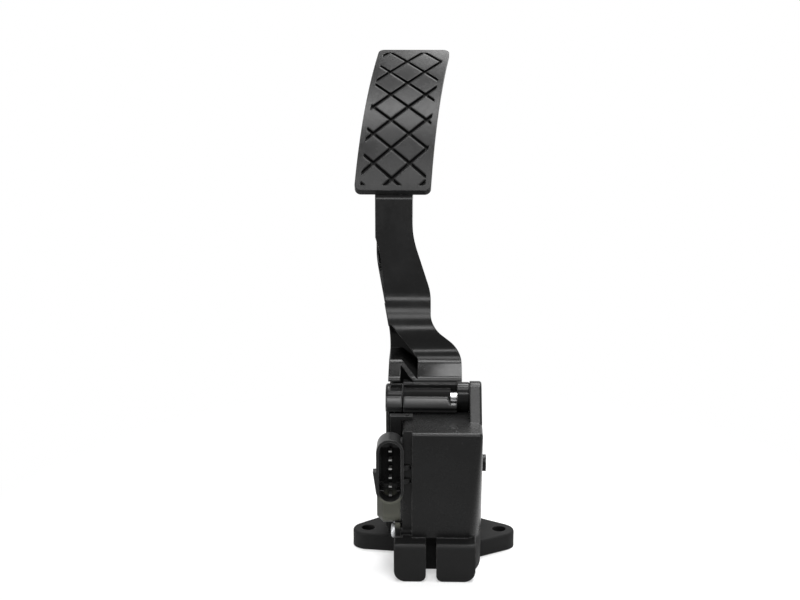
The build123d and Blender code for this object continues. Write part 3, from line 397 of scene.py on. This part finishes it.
def screw_points(y):
    """Points of a cover screw: a profile turned about an axis along X, from the drive's floor to the tip.

    The drive wall's radius swells and shrinks six times a turn. The shank's radius carries a ridge that
    moves one thread pitch along the axis each turn. The profile's radii are in millimetres.
    """
    profile = np.array([
        (0.0, -0.0194), (1.0, -0.0194), (1.0, -0.02035), (1.1, -0.0205), (2.4, -0.0204), (3.0, -0.0201),
        (3.35, -0.0195), (3.4, -0.0190), (3.4, -0.01862), (3.3, -0.0185), (1.5, -0.0185)])
    drive_wall, shank_rings, shank_radius, sides = slice(1, 4), 82, 0.00145, 48
    lobe_count, lobe_depth, thread_pitch, thread_depth = 6, 0.00042, 0.0009, 0.00032
    shank = np.linspace(-0.0183, -0.0102, shank_rings)
    reach = np.concatenate([profile[:, 0] / 1000, np.full(shank_rings, shank_radius), [0.0008, 0.0]])
    x = np.concatenate([profile[:, 1], shank, [-0.0097, -0.0096]])
    angle = np.linspace(0, 2 * math.pi, sides + 1)
    lobes = np.zeros(len(x))
    lobes[drive_wall] = lobe_depth
    thread = np.zeros(len(x))
    thread[len(profile) + 2:len(profile) + shank_rings - 2] = thread_depth
    radius = reach[:, None] + lobes[:, None] * np.cos(lobe_count * angle)[None, :]
    phase = x[:, None] / thread_pitch - angle[None, :] / (2 * math.pi)
    ridge = np.abs(phase - np.floor(phase) - 0.5) * 2
    radius = radius - thread[:, None] * (1 - ridge)
    axis_x = np.broadcast_to(x[:, None], radius.shape)
    return np.stack([axis_x, y + radius * np.cos(angle), screw_z + radius * np.sin(angle)], axis=-1)


screw_grids = [screw_points(y) for y in (-0.029, -0.012)]
screw_faces = grid_faces(*screw_grids[0].shape[:2])
screws = mesh_piece("lug_screws", np.concatenate([grid.reshape(-1, 3) for grid in screw_grids]),
                    np.concatenate([screw_faces, screw_faces + screw_grids[0][..., 0].size]), finishes["zinc_steel"])
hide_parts("cover_screws")
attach(screws, "base")


def lip_points(left, right, bottom, dip):
    """Points of a lip along X on the front of the hinge barrel. Its bottom is given in millimetres, like the corners.

    The profile, closed in the YZ plane, is a smooth curve through a few corners: rim, sloping face, round
    nose, undercut and a skirt, and a back inside the barrel. It is carried along X, drawn in a little at both
    ends and closed there by rings shrunk to a point. Near the right end the rim is cut lower, smoothly, by
    the depth given, where the shaft shows.
    """
    corners = np.array([(-4.4, 80.0), (-4.9, 80.3), (-5.5, 79.9), (-6.5, 78.3), (-7.5, 76.5), (-7.85, 75.5),
                        (-7.5, 74.8), (-6.7, 74.4), (-6.1, 73.6), (-6.0, bottom), (-4.4, bottom), (-2.2, 74.0),
                        (-3.4, 77.0)]) / 1000
    for _ in range(3):
        after = np.roll(corners, -1, axis=0)
        corners = np.stack([0.75 * corners + 0.25 * after, 0.25 * corners + 0.75 * after], axis=1).reshape(-1, 2)
    profile = np.concatenate([corners, corners[:1]])
    middle = profile.mean(axis=0)
    stations, cut_length, cut_ramp, cut_share = 48, 0.0046, 0.0016, 0.85
    from_end = np.array([0, 0, 0.0002, 0.0005, 0.001])
    x = np.concatenate([left + from_end, np.linspace(left + 0.002, right - 0.0015, stations), right - from_end[::-1]])
    shrink = np.array([0, 0.93, 0.97, 0.99, 1.0])
    share = np.concatenate([shrink, np.ones(stations), shrink[::-1]])
    outline = middle + share[:, None, None] * (profile - middle)
    cut_height = profile[:, 1].max() - dip * eased((x - right + cut_length) / cut_ramp)
    outline[..., 1] -= cut_share * np.maximum(outline[..., 1] - cut_height[:, None], 0)
    return np.concatenate([np.broadcast_to(x[:, None, None], outline.shape[:2] + (1,)), outline], axis=2)


# The lips' colour, paler than the arm's and housing's plastic, is painted light; their higher sheen is their finish.
lip_painted_light_finish = moulded("lip_plastic_painted_light", level=0.016, rough=0.20, grain=0.06, soft=0.0008, sheen=0.16)
for lip_name, body, slot, ends in (("barrel_lip", "pedal", "arm_plastic", (-0.0152, 0.0111, 72.15, 0.0034)),
                                   ("pillar_lip", "base", "housing_plastic", (-0.0239, -0.0159, 72.4, 0.0))):
    lip_grid = lip_points(*ends)
    lip = mesh_piece(lip_name, lip_grid, grid_faces(*lip_grid.shape[:2]), lip_painted_light_finish)
    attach(lip, body)


hinge_y, hinge_z = 0.0015, 0.078


def washer_points(left, right, bore, reach):
    """Points of a flat ring about the hinge axis: a rounded oblong profile turned once about the axis."""
    sides, corner = 64, 0.3 * (right - left)
    profile = np.array([(left, bore), (left, reach - corner), (left + corner, reach), (right - corner, reach),
                        (right, reach - corner), (right, bore), (left, bore)])
    angle = np.linspace(0, 2 * math.pi, sides + 1)
    x = np.broadcast_to(profile[:, :1], (len(profile), len(angle)))
    radius = profile[:, 1:]
    return np.stack([x, hinge_y + radius * np.cos(angle), hinge_z + radius * np.sin(angle)], axis=-1)


for washer_name, ends in (("left_washer", (-0.01572, -0.01538, 0.0028, 0.0063)),
                          ("right_washer", (0.01698, 0.01732, 0.0028, 0.0072))):
    washer_grid = washer_points(*ends)
    washer = mesh_piece(washer_name, washer_grid, grid_faces(*washer_grid.shape[:2]), finishes["seal_rubber"])
    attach(washer, "base")


# Studio
def floor_points():
    """Points of the floor: rings about the object, the radius growing by a fixed ratio from ring to ring."""
    first_ring, last_ring, rings, sides, level = 0.02, 6.0, 40, 64, -0.0003
    radius = np.concatenate([[0.0], np.geomspace(first_ring, last_ring, rings)])
    angle = np.linspace(0, 2 * math.pi, sides + 1)
    x = radius[:, None] * np.cos(angle)
    y = radius[:, None] * np.sin(angle)
    return np.stack([x, y, np.full_like(x, level)], axis=-1)


def seen_directly(base):
    """1 for a ray from the camera or from a mirror or glass, 0 for the light that paper scatters."""
    seen, mirrored, through = (base.node("ShaderNodeLightPath", None, None, name)
                               for name in ("Is Camera Ray", "Is Glossy Ray", "Is Transmission Ray"))
    return (seen + mirrored + through).held()


def floor_paper():
    """White paper that takes the object's shadow, and further out is plain white where it is seen."""
    material, shader, base = begin("floor_paper")
    place = base.node("ShaderNodeTexCoord", None, None, "Object")
    reach = base.node("ShaderNodeVectorMath", {"operation": "LENGTH"}, {0: place}, "Value")
    fibre = noise(base, place, 300.0, 3.0)
    feed(shader, Base_Color=fibre.blend((0.84, 0.84, 0.84, 1), (0.88, 0.88, 0.88, 1)), Roughness=0.9,
         Specular_IOR_Level=0.1)
    white = base.node("ShaderNodeEmission", None, {"Color": (1, 1, 1, 1), "Strength": 1.0})
    paper = Shade(base.tree, shader.outputs[0])
    plain = (0.4 + 0.6 * reach.step(0.05, 0.25)) * seen_directly(base)
    mixed = base.node("ShaderNodeMixShader", None, {0: plain, 1: paper, 2: white})
    base.tree.links.new(mixed.socket, base.tree.nodes["Material Output"].inputs["Surface"])
    return material


floor_grid = floor_points()
floor = mesh_piece("floor", floor_grid, grid_faces(*floor_grid.shape[:2])[:, ::-1], floor_paper())

# World: white where it is seen or mirrored, a plain grey for the light it gives
world = bpy.data.worlds.new("studio")
bpy.context.scene.world = world
world.use_nodes = True
sky = Shade(world.node_tree)
tint = seen_directly(sky).blend((0.15, 0.15, 0.153, 1), (1, 1, 1, 1))
world.node_tree.links.new(tint.socket, world.node_tree.nodes["Background"].inputs["Color"])


def lamp(name, place, target, width, depth, watts):
    """A soft rectangular lamp that faces a target."""
    light = bpy.data.lights.new(name, "AREA")
    light.shape = "RECTANGLE"
    light.size, light.size_y, light.energy = width, depth, watts
    holder = bpy.data.objects.new(name, light)
    holder.location = place
    holder.visible_camera = False
    holder.rotation_euler = (Vector(target) - Vector(place)).to_track_quat("-Z", "Y").to_euler()
    bpy.context.scene.collection.objects.link(holder)


lamp("overhead", (0.0, 0.20, 0.85), (0.0, 0.07, 0.18), width=0.6, depth=0.12, watts=6.4)
lamp("behind", (0.18, 0.52, 0.78), (0.0, 0.02, 0.09), width=0.40, depth=0.25, watts=5.5)
lamp("above_front", (0.02, -0.09, 0.86), (0.0, -0.01, 0.08), width=0.5, depth=0.16, watts=3.6)
lamp("front_top", (0.05, -0.62, 0.74), (0.0, 0.0, 0.08), width=0.45, depth=0.12, watts=4.2)
lamp("right_side", (0.70, -0.30, 0.30), (0.0, 0.0, 0.06), width=0.2, depth=0.35, watts=2.2)
lamp("left_low", (-0.65, -0.45, 0.14), (0.0, 0.0, 0.04), width=0.35, depth=0.25, watts=2.8)

# Camera: the point on the base between the bolt holes lies at a known depth and place in the picture
elevation, azimuth = math.radians(15.0), math.radians(1.5)
right = Vector((math.cos(azimuth), math.sin(azimuth), 0))
ahead = Vector((-math.sin(azimuth) * math.cos(elevation), math.cos(azimuth) * math.cos(elevation),
                -math.sin(elevation)))
up = right.cross(ahead)
picture_width, picture_height, film_width = 800, 600, 36.0
focal, depth = 1450.0, 0.734
anchor, anchor_column, anchor_row = Vector((0, 0, 0.0085)), 433.5, 528
across = (anchor_column - picture_width / 2) * depth / focal
above = (picture_height / 2 - anchor_row) * depth / focal
eye = anchor - depth * ahead - across * right - above * up
lens = bpy.data.cameras.new("camera")
lens.sensor_fit, lens.sensor_width, lens.lens = "HORIZONTAL", film_width, focal * film_width / picture_width
camera = bpy.data.objects.new("camera", lens)
camera.matrix_world = Matrix((
    (right.x, up.x, -ahead.x, eye.x),
    (right.y, up.y, -ahead.y, eye.y),
    (right.z, up.z, -ahead.z, eye.z),
    (0, 0, 0, 1)))
bpy.context.scene.collection.objects.link(camera)
bpy.context.scene.camera = camera
bpy.context.scene.view_settings.view_transform = "Standard"
